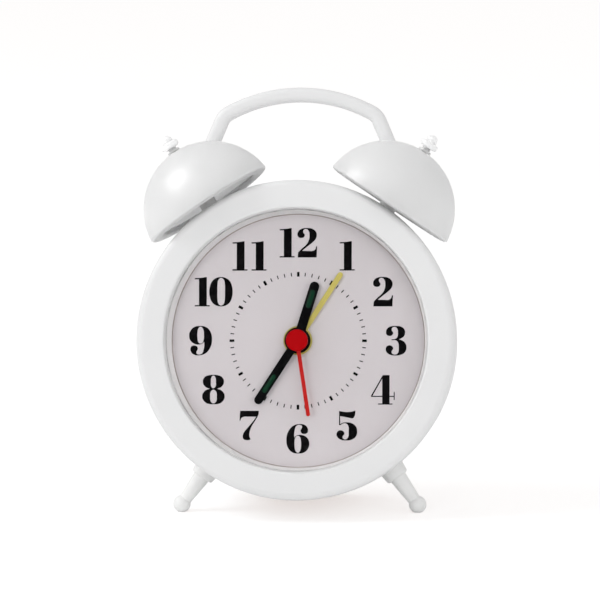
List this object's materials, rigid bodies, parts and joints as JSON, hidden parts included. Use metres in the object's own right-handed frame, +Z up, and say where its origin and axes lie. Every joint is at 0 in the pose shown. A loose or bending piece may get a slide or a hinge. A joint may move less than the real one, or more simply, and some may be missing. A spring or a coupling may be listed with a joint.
{
  "type": "twin-bell alarm clock",
  "caption": "Round white twin-bell style quartz alarm clock with arched handle, ball feet, numbered dial, four hands and rear setting knobs.",
  "frame": {"origin": "centre of the bounding box's footprint, on the table that the two foot balls and the rear edge of the case stand on", "axes": "+Z up, +Y towards the back of the clock, so the dial looks to -Y and leans back, +X to the right of the dial"},
  "size_m": [0.0904, 0.0578, 0.1189],
  "materials": {
    "white_gloss": "gloss white moulding",
    "white_satin": "satin white moulding",
    "clear_lens": "clear polished lens",
    "dial_silver": "silver-grey satin sheet, printed",
    "black_paint": "black",
    "red_paint": "red",
    "yellow_paint": "yellow",
    "movement_plastic": "natural acetal",
    "magnet": "pressed ferrite",
    "steel_sheet": "stamped sheet",
    "copper_winding": "enamelled wire",
    "board": "laminate",
    "plated_can": "plated",
    "black_plastic": "moulded",
    "battery_can": "plain sleeve",
    "spring_steel": "nickel plated strip",
    "zinc_screw": "zinc plated"
  },
  "bodies": {
    "case": {"case_body": "white_gloss", "front_bezel": "white_gloss", "lens": "clear_lens", "chapter_ring": "white_gloss", "dial": "dial_silver", "rear_cover": "white_gloss", "battery_contact_minus": "spring_steel", "battery_contact_plus": "spring_steel", "bell_left": "white_gloss", "bell_post_left": "white_gloss", "finial_left": "white_gloss", "bell_right": "white_gloss", "bell_post_right": "white_gloss", "finial_right": "white_gloss", "handle": "white_gloss", "push_nut_left": "zinc_screw", "push_nut_right": "zinc_screw", "foot_left": "white_gloss", "foot_right": "white_gloss", "cover_screws": "zinc_screw", "wall_screws": "zinc_screw", "movement_screws": "zinc_screw", "movement_plate": "movement_plastic", "train_bridge": "movement_plastic", "movement_housing": "movement_plastic", "stator": "steel_sheet", "coil": "copper_winding", "circuit_board": "board", "quartz_crystal": "plated_can", "buzzer": "black_plastic"},
    "second": {"second_hand": "red_paint", "second_wheel": "movement_plastic"},
    "minute": {"minute_hand": "black_paint", "cannon_pinion": "movement_plastic"},
    "hour": {"hour_hand": "black_paint", "hour_wheel": "movement_plastic"},
    "alarm": {"alarm_hand": "yellow_paint", "alarm_wheel": "movement_plastic"},
    "time_setting": {"minute_wheel": "movement_plastic", "time_knob": "white_satin"},
    "alarm_setting": {"alarm_pinion": "movement_plastic", "alarm_knob": "white_satin"},
    "centre": {"centre_wheel": "movement_plastic"},
    "third": {"third_wheel": "movement_plastic"},
    "intermediate": {"intermediate_wheel": "movement_plastic"},
    "rotor": {"rotor": "magnet"},
    "switch": {"alarm_switch": "white_satin"},
    "door": {"battery_cover": "white_gloss"},
    "cell": {"battery": "battery_can"}
  },
  "joints": [
    {"name": "minute_turn", "type": "hinge", "parent": "case", "child": "minute", "pos_m": [0, -0.01, 0.04889], "axis": [0, 0.9809, -0.1947], "continuous": true},
    {"name": "hour_turn", "type": "hinge", "parent": "case", "child": "hour", "pos_m": [0, -0.01, 0.04889], "axis": [0, 0.9809, -0.1947], "continuous": true},
    {"name": "time_setting_turn", "type": "hinge", "parent": "case", "child": "time_setting", "pos_m": [0.009, -0.01, 0.04889], "axis": [0, 0.9809, -0.1947], "continuous": true},
    {"name": "second_turn", "type": "hinge", "parent": "case", "child": "second", "pos_m": [0, -0.01, 0.04889], "axis": [0, 0.9809, -0.1947], "continuous": true},
    {"name": "third_turn", "type": "hinge", "parent": "case", "child": "third", "pos_m": [-0.009, -0.01, 0.04889], "axis": [0, 0.9809, -0.1947], "continuous": true},
    {"name": "centre_turn", "type": "hinge", "parent": "case", "child": "centre", "pos_m": [0, -0.01, 0.04889], "axis": [0, 0.9809, -0.1947], "continuous": true},
    {"name": "intermediate_turn", "type": "hinge", "parent": "case", "child": "intermediate", "pos_m": [0.00386, -0.0091, 0.05339], "axis": [0, 0.9809, -0.1947], "continuous": true},
    {"name": "rotor_turn", "type": "hinge", "parent": "case", "child": "rotor", "pos_m": [0.00696, -0.00806, 0.05866], "axis": [0, 0.9809, -0.1947], "continuous": true},
    {"name": "alarm_turn", "type": "hinge", "parent": "case", "child": "alarm", "pos_m": [0, -0.01, 0.04889], "axis": [0, 0.9809, -0.1947], "continuous": true},
    {"name": "alarm_setting_turn", "type": "hinge", "parent": "case", "child": "alarm_setting", "pos_m": [-0.00345, -0.00815, 0.05819], "axis": [0, 0.9809, -0.1947], "continuous": true},
    {"name": "alarm_switch_slide", "type": "slide", "parent": "case", "child": "switch", "axis": [1, 0, 0], "range_m": [0, 0.004]},
    {"name": "battery_cover_lift", "type": "slide", "parent": "case", "child": "door", "axis": [0, 0.9809, -0.1947], "range_m": [0, 0.03]},
    {"name": "battery_lift", "type": "slide", "parent": "case", "child": "cell", "axis": [0, 0.9809, -0.1947], "range_m": [0, 0.03]}
  ],
  "couplings": [
    {"joint": "hour_turn", "follows": "minute_turn", "ratio": 0.083333},
    {"joint": "time_setting_turn", "follows": "minute_turn", "ratio": -0.33333},
    {"joint": "third_turn", "follows": "second_turn", "ratio": -0.13333},
    {"joint": "centre_turn", "follows": "second_turn", "ratio": 0.016667},
    {"joint": "intermediate_turn", "follows": "second_turn", "ratio": -5},
    {"joint": "rotor_turn", "follows": "second_turn", "ratio": 30},
    {"joint": "alarm_setting_turn", "follows": "alarm_turn", "ratio": -3},
    {"joint": "battery_lift", "follows": "battery_cover_lift", "ratio": 1}
  ]
}
